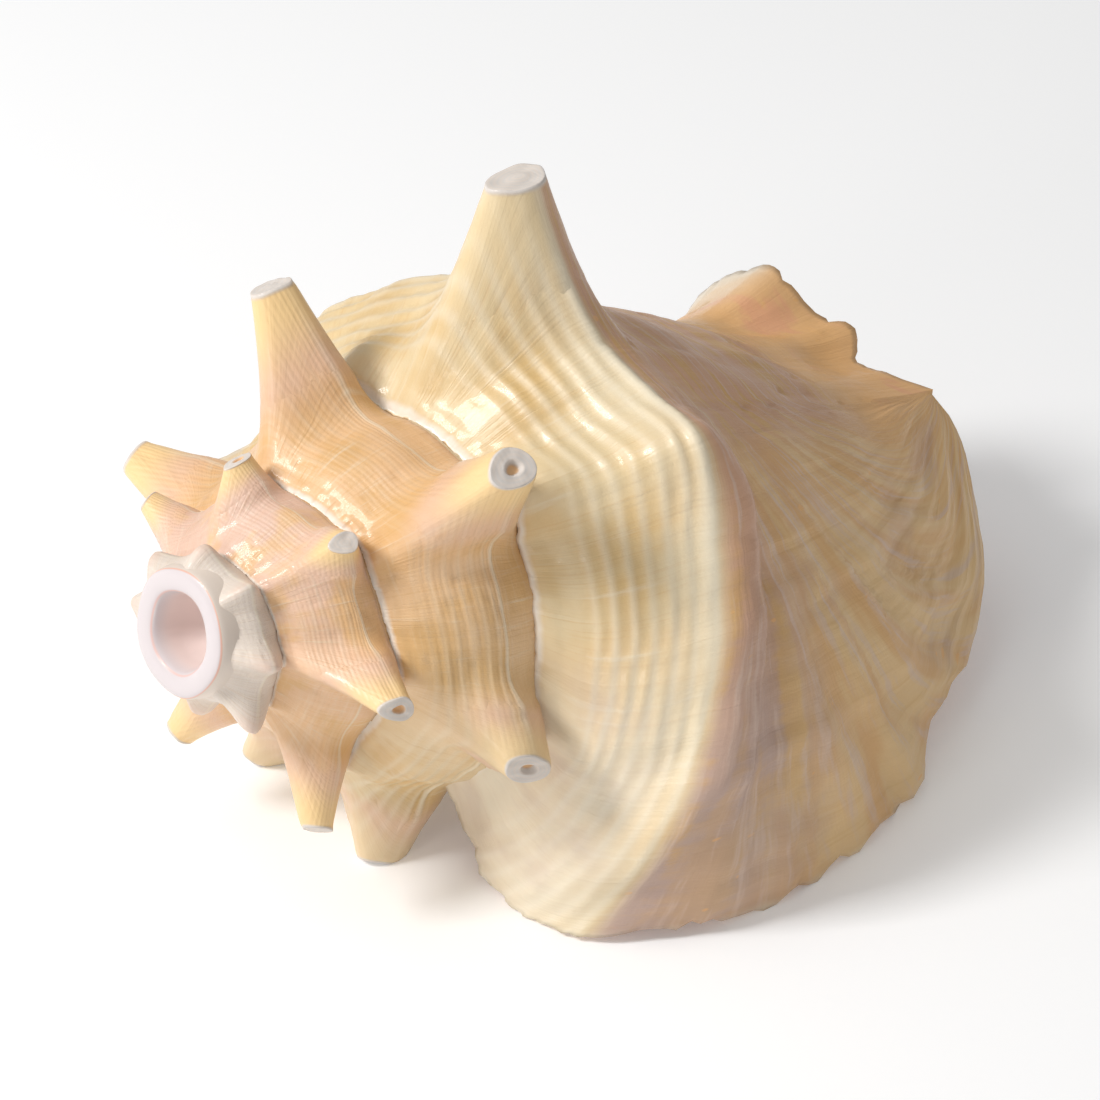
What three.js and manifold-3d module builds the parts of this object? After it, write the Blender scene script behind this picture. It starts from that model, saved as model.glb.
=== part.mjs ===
// Conch shell: a right-handed sea-snail shell with a tall spined spire, a wide flared lip and a short
// upturned front canal.  Millimetres, +Z up, resting mouth-down on its lip and two underside spines.
// +X runs from the apex towards the canal, the lip spreads towards -Y.
import * as THREE from 'three';
import * as BufferGeometryUtils from 'three/addons/utils/BufferGeometryUtils.js';
import Module from 'manifold-3d';

const wasm = await Module();
wasm.setup();

// ---- growth spiral -------------------------------------------------------------------------------
const WHORL_GROWTH = 1.505;        // each full turn is this much larger than the one before
const UNIT_ANGLE = -808;           // growth angle (degrees) at which the scale is exactly 1
const ANGLE_STEP = 5;              // degrees between cross sections
const TURN = 360 / ANGLE_STEP;     // cross sections in one full turn
const FIRST_ANGLE = -1226;         // oldest part kept; everything before it is ground away
const SOLID_END = -226;            // the coil is filled up to here, the body chamber begins after it
const CHAMBER_SPLIT = -106;        // far side of the body chamber, where its two stretches meet
const LIP_START = 34;              // growth angle where the wall starts to flare into the lip

// ---- how the shell stands ------------------------------------------------------------------------
const AXIS_TILT = 13.1;            // degrees, canal end lower than the apex
const AXIS_HEIGHT = 77.8;          // height of the coiling centre over the ground
const COIL_CENTRE = [-124.35, 3.886]; // coiling centre from the middle of the footprint, along X and Y
const APEX_CUT = 25.6;             // distance along the axis of the ground-off apex face

// ---- wall ----------------------------------------------------------------------------------------
const WALL = 4.4;                  // body chamber wall
const LIP_WALL = 7.0;              // middle of the flared lip
const RIM_WALL = 2.8;              // at the very rim
const SEAM_SINK = 1.2;             // how deep the body wall is let into the whorl before it

// Outer profile of one whorl at scale 1, from its seam (0) over the shoulder to the canal end (1):
// [place on the profile, distance along the axis, radius]
const PROFILE = [
  [0.00, 31.8, 15.4], [0.06, 33.8, 18.4], [0.14, 37.6, 21.7], [0.235, 42.6, 24.7], [0.29, 45.6, 24.2],
  [0.34, 47.86, 23.18], [0.44, 53.6, 21.3], [0.54, 59.6, 19.0], [0.66, 66.6, 15.7], [0.82, 74.0, 10.6],
  [1.00, 81.0, 5.0],
];
const SHOULDER = 0.235;
const SEAM = 0.34;                 // where the next whorl is fastened on; 1.505 times the first row

// Spines on the shoulder: [growth angle, tip radius as a share of the tip cone]
const SPINES = [
  [-1226, 0.82], [-1174, 0.81], [-1143, 0.78], [-1085, 0.74], [-1042, 0.77], [-993, 0.82], [-947, 0.82],
  [-893, 0.78], [-842, 0.87], [-790, 0.96], [-739, 0.87], [-682, 0.85], [-630, 1.04], [-571, 1.04],
  [-510, 1.06], [-444, 1.09], [-384.5, 1.17], [-318.8, 1.14], [-255, 0.89], [-192, 0.91], [-153, 0.93],
  [-102, 0.95], [-55, 0.75], [0.8, 1.045], [46, 0.76],
];
const TIP_RADIUS = 34.8;           // tip cone at scale 1
const TIP_AXIAL = 39.4;
const SPINE_TOP = 2.3;             // half width of a cut spine top at scale 1
const SPINE_FOOT = 11;             // half width of a spine foot at scale 1
const SPINE_SHARPNESS = 3;

// Front edge of the shell around the canal: [growth angle, along the axis, up, towards the lip]
const CANAL_EDGE = [
  [-260, 143, -8, 9], [-215, 152, -11, 5], [-180, 165, -15, -4], [-150, 178, -16, -14],
  [-120, 189, -12, -28], [-92, 196, -2, -38], [-72, 200, 12, -41], [-56, 203, 27, -38],
  [-41, 205, 36, -31], [-27, 207.5, 42, -21], [-15, 211, 34.5, -10], [-4, 216, 33.5, -3],
  [10, 214, 28, 5], [22, 218, 27, 11], [34, 225, 25, 17],
];
const CANAL_BEND = 2.6;            // how late along the profile the wall turns to the canal edge

// Rim of the lip: [place on the profile, angle round the axis, along the axis, radius]
const LIP_RIM = [
  [0.00, 150, 87, 43], [0.06, 154, 91, 55], [0.12, 149, 89.5, 66], [0.18, 142, 89.5, 76],
  [0.235, 134, 93, 84], [0.30, 127, 104, 91], [0.36, 124, 117, 93.5], [0.46, 121, 139, 94],
  [0.55, 119, 161, 88.3], [0.63, 118, 179, 82], [0.74, 114, 203, 63], [0.83, 104, 222, 48.5],
  [0.90, 80, 229, 33], [0.96, 55, 229, 29], [1.00, 34, 225, 30.2],
];

// ---- small maths ---------------------------------------------------------------------------------
const radians = THREE.MathUtils.degToRad;
const scaleAt = (angle) => WHORL_GROWTH ** ((angle - UNIT_ANGLE) / 360);
const clamp = THREE.MathUtils.clamp;

// Smooth curve through the rows of a table: column `col` at `x`, column 0 being the parameter.
function along(table, col, x) {
  const last = table.length - 1;
  const slope = (i) => (table[i + 1][col] - table[i][col]) / (table[i + 1][0] - table[i][0]);
  const tangent = (i) => {
    if (i === 0) return slope(0);
    if (i === last) return slope(last - 1);
    const before = table[i][0] - table[i - 1][0];
    const after = table[i + 1][0] - table[i][0];
    return (before * slope(i) + after * slope(i - 1)) / (before + after);
  };
  const at = clamp(x, table[0][0], table[last][0]);
  let k = 0;
  while (k < last - 1 && at > table[k + 1][0]) k += 1;
  const width = table[k + 1][0] - table[k][0];
  const t = (at - table[k][0]) / width;
  const rise = table[k + 1][col] - table[k][col];
  const start = tangent(k) * width;
  const end = tangent(k + 1) * width;
  return table[k][col] + t * (start + t * (3 * rise - 2 * start - end + t * (start + end - 2 * rise)));
}

// Point given along the axis, upward and towards the lip, turned into the standing shell.
const TILT = radians(AXIS_TILT);
function stand(axial, up, side) {
  return new THREE.Vector3(
    COIL_CENTRE[0] + axial * Math.cos(TILT) + up * Math.sin(TILT),
    COIL_CENTRE[1] - side,
    AXIS_HEIGHT - axial * Math.sin(TILT) + up * Math.cos(TILT),
  );
}

function around(axial, radius, angle) {
  const turn = radians(angle);
  return stand(axial, radius * Math.cos(turn), radius * Math.sin(turn));
}

// ---- outer surface -------------------------------------------------------------------------------
// Height of the spines over the plain whorl, as a share of the spine, added along the tip cone.
function spineLift(angle, place) {
  let outward = 0;
  for (const [at, reach] of SPINES) {
    const onwards = radians(angle - at) * 24;
    const across = (place - SHOULDER) * (place < SHOULDER ? 41.6 : 54);
    const away = Math.hypot(onwards, across);
    const share = clamp((away - SPINE_TOP) / (SPINE_FOOT - SPINE_TOP), 0, 1);
    outward += (1 - share) ** SPINE_SHARPNESS * (TIP_RADIUS * reach - along(PROFILE, 2, SHOULDER));
  }
  const lean = (TIP_AXIAL - along(PROFILE, 1, SHOULDER)) / (TIP_RADIUS - along(PROFILE, 2, SHOULDER));
  const backward = outward * lean;
  return { outward, backward };
}

// The youngest kept whorls are slimmer than the spiral asks for.
const slimness = (angle) => 1 - 0.14 * THREE.MathUtils.smoothstep(-angle, 780, 920);
function slimAt(angle, place) {
  const near = THREE.MathUtils.smoothstep(place, 0, SHOULDER);
  return THREE.MathUtils.lerp(slimness(angle - 360), slimness(angle), near);
}

function plainWhorlPoint(angle, place, lift) {
  const size = scaleAt(angle);
  const radius = along(PROFILE, 2, place) * slimAt(angle, place);
  return around((along(PROFILE, 1, place) + lift.backward) * size, (radius + lift.outward) * size, angle);
}

const NO_LIFT = { outward: 0, backward: 0 };
const seamPoint = (angle, spined) => plainWhorlPoint(angle, SEAM, spined ? spineLift(angle, SEAM) : NO_LIFT);

// A whorl starts on the seam of the one before it, spine feet and all, and leaves it within a few rows.
function whorlPoint(angle, place, spined) {
  const point = plainWhorlPoint(angle, place, spined ? spineLift(angle, place) : NO_LIFT);
  const hold = 1 - THREE.MathUtils.smoothstep(place, 0, 0.16);
  if (hold > 0 && spined && angle - 360 >= FIRST_ANGLE) {
    point.add(seamPoint(angle - 360, true).sub(seamPoint(angle - 360, false)).multiplyScalar(hold));
  }
  return point;
}

// The wall leaves the plain spiral near its front end and follows the canal edge.
function canalShift(angle, place) {
  const edge = stand(along(CANAL_EDGE, 1, angle), along(CANAL_EDGE, 2, angle), along(CANAL_EDGE, 3, angle));
  const size = scaleAt(angle);
  const plain = around(along(PROFILE, 1, 1) * size, along(PROFILE, 2, 1) * size, angle);
  const share = clamp((place - 0.42) / 0.58, 0, 1) ** CANAL_BEND;
  const begin = clamp((angle + 300) / 60, 0, 1);
  return edge.sub(plain).multiplyScalar(share * begin);
}

function wallPoint(angle, place, spined) {
  return whorlPoint(angle, place, spined).add(canalShift(angle, place));
}

// The lip: `out` runs from 0 at its start to 1 at the rim.
function lipPoint(out, place, spined) {
  const rimAngle = along(LIP_RIM, 1, place);
  const angle = LIP_START + out * (rimAngle - LIP_START);
  const begin = canalShift(LIP_START, place);
  const size = scaleAt(rimAngle);
  const plain = around(along(PROFILE, 1, place) * size, along(PROFILE, 2, place) * size, rimAngle);
  const rim = around(along(LIP_RIM, 2, place), along(LIP_RIM, 3, place), rimAngle);
  const flare = out * out * (1.6 - 0.6 * out);
  return whorlPoint(angle, place, spined)
    .add(begin.multiplyScalar(1 - flare))
    .add(rim.sub(plain).multiplyScalar(flare));
}

// One running measure for wall and lip together: degrees up to LIP_START, then 0..1 over the lip.
const LIP_SPAN = 100;
function surfacePoint(run, place, spined) {
  if (run <= LIP_START) return wallPoint(run, place, spined);
  return lipPoint((run - LIP_START) / LIP_SPAN, place, spined);
}

function wallThickness(run, place) {
  const out = clamp((run - LIP_START) / LIP_SPAN, 0, 1);
  const body = WALL * THREE.MathUtils.lerp(1, 0.6, clamp((place - 0.7) / 0.3, 0, 1));
  const lip = THREE.MathUtils.lerp(LIP_WALL, RIM_WALL, clamp((out - 0.7) / 0.3, 0, 1));
  return THREE.MathUtils.lerp(body, lip, clamp(out * 3, 0, 1) * clamp((1 - place) / 0.2, 0, 1));
}

function innerPoint(run, place) {
  const step = 0.01;
  const ahead = Math.min(place + step, 1);
  const behind = Math.max(place - step, 0);
  const later = surfacePoint(Math.min(run + 1, LIP_START + LIP_SPAN), place, false);
  const earlier = surfacePoint(run - 1, place, false);
  const onward = later.sub(earlier);
  const across = surfacePoint(run, ahead, false).sub(surfacePoint(run, behind, false));
  const outward = onward.cross(across).normalize();
  return surfacePoint(run, place, false).addScaledVector(outward, -wallThickness(run, place));
}

// ---- closed solids -------------------------------------------------------------------------------
// A tube of rings; every ring has the same number of points and the ends are capped.
function tubeSolid(rings) {
  const count = rings[0].length;
  const positions = [];
  const index = [];
  rings.forEach((ring) => ring.forEach((p) => positions.push(p.x, p.y, p.z)));
  const face = (a, b, c) => index.push(a, c, b);
  for (let i = 0; i + 1 < rings.length; i += 1) {
    for (let j = 0; j < count; j += 1) {
      const next = (j + 1) % count;
      const a = i * count + j;
      const b = i * count + next;
      face(a, b, b + count);
      face(a, b + count, a + count);
    }
  }
  const cap = (first, turned) => {
    const half = Math.floor(count / 2);
    for (let j = 0; j < half; j += 1) {
      const near = first + j;
      const nearNext = first + j + 1;
      const far = first + count - 1 - j;
      const farNext = first + count - 2 - j;
      const tri = (a, b, c) => {
        if (a !== b && b !== c && a !== c) (turned ? face(a, b, c) : face(a, c, b));
      };
      if (nearNext < farNext) {
        tri(near, far, nearNext);
        tri(nearNext, far, farNext);
      } else if (nearNext === farNext) {
        tri(near, far, nearNext);
      }
    }
  };
  cap(0, true);
  cap((rings.length - 1) * count, false);
  const geometry = new THREE.BufferGeometry();
  geometry.setAttribute('position', new THREE.Float32BufferAttribute(positions, 3));
  geometry.setIndex(index);
  return geometry;
}

function toSolid(geometry) {
  const plain = geometry.clone();
  plain.deleteAttribute('normal');
  plain.deleteAttribute('uv');
  const merged = BufferGeometryUtils.mergeVertices(plain, 1e-5);
  const mesh = new wasm.Mesh({
    numProp: 3,
    vertProperties: Float32Array.from(merged.attributes.position.array),
    triVerts: Uint32Array.from(merged.index.array),
  });
  return new wasm.Manifold(mesh);
}

// Places across the profile, closer together at the shoulder.
const UPPER_PLACES = [0, 0.06, 0.12, 0.18, 0.235, 0.275, SEAM];
const LOWER_PLACES = [0.42, 0.51, 0.60, 0.70, 0.79, 0.87, 0.94, 1];
const INNER_PLACES = [0, 0.08, 0.16, 0.235, 0.33, 0.45, 0.60, 0.74, 0.87, 1];

function sectionAngles(from, to) {
  const count = Math.round((to - from) / ANGLE_STEP);
  return Array.from({ length: count + 1 }, (_, i) => from + i * ANGLE_STEP);
}

// The filled coil: one skin wound from the apex to the body chamber, each whorl sharing its seam
// with the next one, closed by a flat end face and by points on the axis.
function filledCoil() {
  const angles = sectionAngles(FIRST_ANGLE, SOLID_END);
  const last = angles.length - 1;
  const places = [...UPPER_PLACES, ...LOWER_PLACES];
  const seamRow = UPPER_PLACES.length - 1;
  const lastRow = places.length - 1;
  const positions = [];
  const known = new Map();
  const pointOf = (i, row) => {
    if (row === seamRow && i + TURN <= last) return pointOf(i + TURN, 0);
    const key = i * places.length + row;
    if (!known.has(key)) {
      const p = wallPoint(angles[i], places[row], true);
      known.set(key, positions.length / 3);
      positions.push(p.x, p.y, p.z);
    }
    return known.get(key);
  };
  const onAxis = (axial) => {
    const p = stand(axial, 0, 0);
    positions.push(p.x, p.y, p.z);
    return positions.length / 3 - 1;
  };
  const index = [];
  const face = (a, b, c) => index.push(a, c, b);
  for (let i = 0; i < last; i += 1) {
    const rows = i + TURN < last ? seamRow : lastRow;
    for (let row = 0; row < rows; row += 1) {
      const a = pointOf(i, row);
      const b = pointOf(i, row + 1);
      const c = pointOf(i + 1, row + 1);
      const d = pointOf(i + 1, row);
      face(a, b, c);
      face(a, c, d);
    }
  }
  // apex cap
  const apex = onAxis(22);
  for (let i = 0; i < TURN; i += 1) face(apex, pointOf(i, 0), pointOf(i + 1, 0));
  for (let row = 0; row < seamRow; row += 1) face(apex, pointOf(0, row + 1), pointOf(0, row));
  // end face of the filling, between the last section and the one a turn before
  const before = last - TURN;
  for (let row = 1; row < seamRow; row += 1) {
    face(pointOf(last, 0), pointOf(last, row), pointOf(last, row + 1));
  }
  for (let row = seamRow; row < lastRow; row += 1) {
    face(pointOf(before, row), pointOf(last, row), pointOf(last, row + 1));
    face(pointOf(before, row), pointOf(last, row + 1), pointOf(before, row + 1));
  }
  // front cap, inside the pillar
  const front = onAxis(132);
  for (let i = before; i < last; i += 1) face(front, pointOf(i + 1, lastRow), pointOf(i, lastRow));
  face(front, pointOf(before, lastRow), pointOf(last, lastRow));
  const geometry = new THREE.BufferGeometry();
  geometry.setAttribute('position', new THREE.Float32BufferAttribute(positions, 3));
  geometry.setIndex(index);
  return toSolid(geometry);
}

// A thin-walled stretch of the body chamber, with the lip when `to` runs past LIP_START.  Its first
// section is set back and drawn in, so that it sits inside what it joins.
const LIP_SECTIONS = [0.05, 0.11, 0.18, 0.26, 0.34, 0.42, 0.50, 0.58, 0.66, 0.74, 0.82, 0.91, 1];
function chamberWall(from, to) {
  const runs = [from - ANGLE_STEP, ...sectionAngles(from, Math.min(to, LIP_START))];
  if (to > LIP_START) LIP_SECTIONS.forEach((out) => runs.push(LIP_START + out * LIP_SPAN));
  const rings = runs.map((run, section) => {
    const inner = [...INNER_PLACES].reverse().map((place) => innerPoint(run, place));
    const outer = [...UPPER_PLACES, ...LOWER_PLACES].map((place, row) => {
      const point = surfacePoint(run, place, true);
      const sink = row === 0 ? SEAM_SINK : 0;
      const drawn = section === 0 ? 1.2 : 0;
      return point.lerp(stand(along(PROFILE, 1, place) * scaleAt(run), 0, 0), (sink + drawn) / 40);
    });
    return [...outer, ...inner];
  });
  return toSolid(tubeSolid(rings));
}

// Solid of revolution about the coiling axis, outline given as [along the axis, radius].
function turned(outline, segments) {
  const profile = outline.map(([axial, radius]) => new THREE.Vector2(radius, axial));
  const geometry = new THREE.LatheGeometry(profile, segments);
  const basis = new THREE.Matrix4().makeBasis(
    new THREE.Vector3(0, -1, 0),
    stand(1, 0, 0).sub(stand(0, 0, 0)),
    stand(0, 1, 0).sub(stand(0, 0, 0)),
  );
  basis.setPosition(stand(0, 0, 0));
  geometry.applyMatrix4(basis);
  return toSolid(geometry);
}

// The pillar the last whorl winds round, bending over into the far edge of the canal:
// [along the axis, up, towards the lip, radius]
const PILLAR = [
  [114, 0, 0, 5], [120, 0, 0, 9], [130, 0, 0, 12], [142, -1, -1, 13.5], [155, -3, -2, 13],
  [167, -7, -7, 11], [178, -10, -15, 8], [186, -10, -23, 4.5],
];
const PILLAR_SIDES = 16;
function pillar() {
  const rings = PILLAR.map(([axial, up, side, radius]) => (
    Array.from({ length: PILLAR_SIDES }, (_, i) => {
      const turn = 2 * Math.PI * i / PILLAR_SIDES;
      return stand(axial, up + radius * Math.cos(turn), side - radius * Math.sin(turn));
    })
  ));
  return toSolid(tubeSolid(rings));
}

// The ground-off apex leaves a smooth bowl where the youngest whorls have been.
const APEX_BOWL = [[15, 0], [15, 9.2], [25.6, 8.6], [31, 7.8], [36, 6.2], [39.5, 3.6], [41, 0]];

function slab(width, depth, height, place) {
  const geometry = new THREE.BoxGeometry(width, depth, height);
  geometry.translate(place.x, place.y, place.z);
  return toSolid(geometry);
}

function halfSpaceBeforeApex() {
  const geometry = new THREE.BoxGeometry(80, 120, 120);
  geometry.rotateY(TILT);
  const centre = stand(APEX_CUT - 40, 0, 0);
  geometry.translate(centre.x, centre.y, centre.z);
  return toSolid(geometry);
}

const joined = filledCoil()
  .add(pillar())
  .add(chamberWall(SOLID_END, CHAMBER_SPLIT))
  .add(chamberWall(CHAMBER_SPLIT, LIP_START + LIP_SPAN));
const shell = joined
  .subtract(turned(APEX_BOWL, 28))
  .subtract(halfSpaceBeforeApex())
  .subtract(slab(500, 400, 60, new THREE.Vector3(0, 0, -30)));

function toMesh(solid, name, material) {
  const { vertProperties, triVerts } = solid.getMesh();
  const geometry = new THREE.BufferGeometry();
  geometry.setAttribute('position', new THREE.Float32BufferAttribute(vertProperties, 3));
  geometry.setIndex(new THREE.BufferAttribute(triVerts, 1));
  geometry.computeVertexNormals();
  const mesh = new THREE.Mesh(geometry, material);
  mesh.name = name;
  return mesh;
}

const part = new THREE.Group();
part.add(toMesh(shell, 'conch_shell', new THREE.MeshStandardMaterial({
  color: 0xe6c48f,
  roughness: 0.35,
  metalness: 0,
})));

export default part;
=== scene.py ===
"""Conch shell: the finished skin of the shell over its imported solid, with floor, light and camera."""
import math

import bpy
import numpy as np
from mathutils import Matrix


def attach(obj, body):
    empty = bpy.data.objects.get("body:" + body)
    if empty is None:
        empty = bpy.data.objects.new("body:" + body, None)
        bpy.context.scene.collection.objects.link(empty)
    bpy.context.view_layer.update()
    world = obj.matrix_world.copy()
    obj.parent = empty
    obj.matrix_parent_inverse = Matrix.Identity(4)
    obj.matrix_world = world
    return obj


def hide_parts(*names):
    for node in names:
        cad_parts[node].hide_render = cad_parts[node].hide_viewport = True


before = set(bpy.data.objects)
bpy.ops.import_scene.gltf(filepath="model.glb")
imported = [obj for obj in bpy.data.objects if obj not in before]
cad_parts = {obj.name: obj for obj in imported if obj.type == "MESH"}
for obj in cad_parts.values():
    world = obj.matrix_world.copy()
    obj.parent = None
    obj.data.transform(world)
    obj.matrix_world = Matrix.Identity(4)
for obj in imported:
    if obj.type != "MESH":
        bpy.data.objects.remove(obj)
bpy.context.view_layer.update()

# ---------------------------------------------------------------------------------------------------
# Sizes, in millimetres and degrees. A unit is a millimetre where the scale of growth is 1.
# ---------------------------------------------------------------------------------------------------
WHORL_GROWTH = 1.505      # each turn is this much larger than the one before
UNIT_ANGLE = -808.0       # growth angle at which the scale is 1
FIRST_ANGLE = -1226.0     # oldest part kept
OLD_WHORL = -880.0        # the first whorl kept is paler, with low rounded knobs
COIL_END = -226.0         # the coil is filled up to here, the body chamber begins after it
LIP_START = 34.0          # the wall starts to flare into the lip
LIP_SPAN = 100.0          # running measure over the lip
AXIS_TILT = math.radians(13.1)
AXIS_HEIGHT = 77.8
COIL_CENTRE = (-124.35, 3.886)

APEX_FACE = 25.55         # along the axis: the plane the apex was ground off to
APEX_HOLE = 9.6           # radius left free for the bowl behind that plane
APEX_REACH = 40.0         # radius within which that plane cuts
FILLING_RING = (42.0, 10.0)      # along the axis and radius: a ring behind the bowl, deep in the filling
FILLING_BACK = 44.0              # along the axis: the point that closes the skin behind that ring
WHORL_FRONT = 132.0              # along the axis: the point that closes the filled coil's front end

WALL = 4.4
LIP_WALL = 7.0
RIM_WALL = 2.8

# places on the profile: 0 on the seam above, 1 at the front end
SHOULDER = 0.235
SEAM = 0.34
RAMP_LENGTH = 41.6        # units to a unit of place on the ramp
WALL_LENGTH = 54.0        # and on the wall below the shoulder
CORD_PITCH = 0.0262       # place between two spiral cords
CANAL_PLACE = 0.42        # the wall begins to leave the spiral for the canal
FAN_FOOT = 0.24           # the folds of the lip fan out from this place,
FAN_START = 0.18          # over this span of places where the lip starts,
FAN_GROWTH = 0.50         # and over so much more at its rim

# spines, in units
TIP_RADIUS = 34.8
TIP_AXIAL = 39.4
SPINE_TOP = 2.3
SPINE_FOOT = 11.0
SPINE_TURN = 34.0         # degrees of growth to either side that a spine can reach
TALL_FROM = -20.0         # the tall last spine stands after this angle, its cut top a little smaller
TALL_TOP = 0.86
KNOB_REACH = 0.84         # spines with a smaller share of the tip cone are knobs
SPINE_ROUND = 22.0        # a spine's section: units to a radian of growth at its foot,
SPINE_NARROW = 2.3        # and how many more its middle takes up,
SPINE_MIDDLE = 0.15       # over about so many radians
PATCH_EDGE = 5.6          # distance from a spine's middle where its own finer skin takes over
PATCH_OVERLAP = 0.25      # the two skins cross within this distance,
PATCH_DIP = 0.42          # each dipping this deep under the other
SKIN_CAP = 0.75           # the coarse skin is this high at most under the finer one

# the skin's columns and rows
ANGLE_STEP = 1.8
LIP_COLUMNS = 96
INNER_ROWS = 25
PATCH_SPOKES = 40

# relief, in millimetres (those marked with a star grow with the shell)
CORD_OLD = 0.03
CORD_LAST = 0.50
GROWTH_LINE = 0.05        # *
SWELL = 0.24              # *
KEEL = 0.34               # *
PIT = 0.22                # *
SADDLE = 1.8              # * dip of a shoulder between two spines
BULGE = 5.4               # the lip's shoulder stands out and is rounded
FOLD = 2.4
RIB = 1.25
GROWTH_STEP = 0.50
WAVE = 2.6

# place on the profile, distance along the axis, radius, all at scale 1
PROFILE = np.array([
    (0.00, 31.8, 15.4), (0.06, 33.8, 18.4), (0.14, 37.6, 21.7), (0.235, 42.6, 24.7), (0.29, 45.6, 24.2),
    (0.34, 47.86, 23.18), (0.44, 53.6, 21.3), (0.54, 59.6, 19.0), (0.66, 66.6, 15.7), (0.82, 74.0, 10.6),
    (1.00, 81.0, 5.0)])

# growth angle, share of the tip cone, bore left in the cut top (0 for none)
SPINES = np.array([
    (-1174, 0.84, 0), (-1133, 0.84, 0), (-1085, 0.83, 0), (-1042, 0.85, 0), (-993, 0.88, 0),
    (-947, 0.92, 0), (-893, 0.85, 0), (-842, 0.87, 0), (-790, 0.96, 0), (-739, 0.87, 1), (-682, 0.85, 0),
    (-630, 1.04, 1), (-571, 1.04, 0), (-510, 1.06, 0), (-444, 1.09, 0), (-384.5, 1.17, 0),
    (-318.8, 1.14, 1), (-255, 0.89, 1), (-192, 0.91, 0), (-153, 0.93, 0), (-102, 0.95, 0), (-55, 0.75, 0),
    (0.8, 1.045, 0), (45, 0.82, 0)], dtype=float)

# growth angle, along the axis, up, towards the lip
CANAL_EDGE = np.array([
    (-260, 143, -8, 9), (-215, 152, -11, 5), (-180, 165, -15, -4), (-150, 178, -16, -14),
    (-120, 189, -12, -28), (-92, 196, -2, -38), (-72, 200, 12, -41), (-56, 203, 27, -38),
    (-41, 205, 36, -31), (-27, 207.5, 42, -21), (-15, 211, 34.5, -10), (-4, 216, 33.5, -3),
    (10, 214, 28, 5), (22, 218, 27, 11), (34, 225, 25, 17)])

# place on the profile, angle round the axis, along the axis, radius
LIP_RIM = np.array([
    (0.00, 150, 87, 43), (0.06, 154, 91, 55), (0.12, 149, 89.5, 66), (0.18, 142, 89.5, 76),
    (0.235, 134, 93, 84), (0.30, 127, 104, 91), (0.36, 124, 117, 93.5), (0.46, 121, 139, 94),
    (0.55, 119, 161, 88.3), (0.63, 118, 179, 82), (0.74, 114, 203, 63), (0.83, 104, 222, 48.5),
    (0.90, 80, 229, 33), (0.96, 55, 229, 29), (1.00, 34, 225, 30.2)])

# chips in the rim and in the canal's edge: place or running measure, half width, depth
RIM_CHIPS = np.array([
    (0.335, 0.005, 0.022), (0.350, 0.003, 0.014), (0.44, 0.004, 0.012), (0.50, 0.010, 0.016),
    (0.545, 0.004, 0.020), (0.60, 0.004, 0.016), (0.63, 0.008, 0.010), (0.69, 0.005, 0.014)])
CANAL_CHIPS = np.array([(-24.0, 1.0, 0.008), (-9.0, 1.2, 0.008), (8.0, 2.0, 0.006)])

# the pillar: share of its length, along the axis, up, away from the lip, radius
PILLAR = np.array([
    (0.0, 114, 0, 0, 5), (0.10, 120, 0, 0, 9), (0.24, 130, 0, 0, 12), (0.40, 142, -1, -1, 13.5),
    (0.58, 155, -3, -2, 13), (0.74, 167, -7, -7, 11), (0.88, 178, -10, -15, 8), (1.0, 186, -10, -23, 4.5)])
# and the points that close its ends: along the axis, up, away from the lip
PILLAR_ENDS = np.array([(112, 0, 0), (188, -10, -25)], dtype=float)

# the ring and bowl of the apex: share of the outline, along the axis, radius
APEX = np.array([
    (0.0, 30, 14.6), (0.12, 27.5, 14.3), (0.20, 26.1, 14.0), (0.26, 25.42, 13.6), (0.32, 25.10, 12.9),
    (0.40, 24.95, 11.7), (0.48, 25.05, 10.1), (0.53, 25.35, 9.2), (0.58, 26.0, 8.6), (0.66, 28.5, 8.0),
    (0.76, 32.5, 7.5), (0.86, 36.5, 6.0), (0.94, 39.2, 3.4), (1.0, 40.3, 0.0)])

# the young edge over a seam, row by row: how far it stands proud and laps back, in units
EDGE_PROUD = np.array([-0.45, 0.05, 0.26, 0.24, 0.16, 0.09, 0.03])
EDGE_LAP = np.array([0.42, 0.30, 0.12])


# ---------------------------------------------------------------------------------------------------
# Curves and waves
# ---------------------------------------------------------------------------------------------------
def smooth(x, low, high):
    """0 below low, 1 above high, 3t^2 - 2t^3 between."""
    t = np.clip((x - low) / (high - low), 0, 1)
    return t * t * (3 - 2 * t)


def bell(x, middle, width):
    """exp of minus the square of the distance from the middle over the width."""
    return np.exp(-((x - middle) / width) ** 2)


def ridge(turns, sharpness):
    """A rounded ridge at every whole turn, 0..1: half of 1 plus the cosine, to the power of sharpness."""
    return (0.5 + 0.5 * np.cos(math.tau * turns)) ** sharpness


def along(table, col, x):
    """Cubic through the rows of a table, each tangent the weighted mean of the two neighbouring slopes."""
    xs, ys = table[:, 0], table[:, col]
    width = np.diff(xs)
    slope = np.diff(ys) / width
    inner = (width[:-1] * slope[1:] + width[1:] * slope[:-1]) / (width[:-1] + width[1:])
    tangent = np.concatenate([slope[:1], inner, slope[-1:]])
    x = np.clip(x, xs[0], xs[-1])
    k = np.clip(np.searchsorted(xs, x, side="right") - 1, 0, len(width) - 1)
    t = (x - xs[k]) / width[k]
    rise, start, end = ys[k + 1] - ys[k], tangent[k] * width[k], tangent[k + 1] * width[k]
    return ys[k] + t * (start + t * (3 * rise - 2 * start - end + t * (start + end - 2 * rise)))


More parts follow.
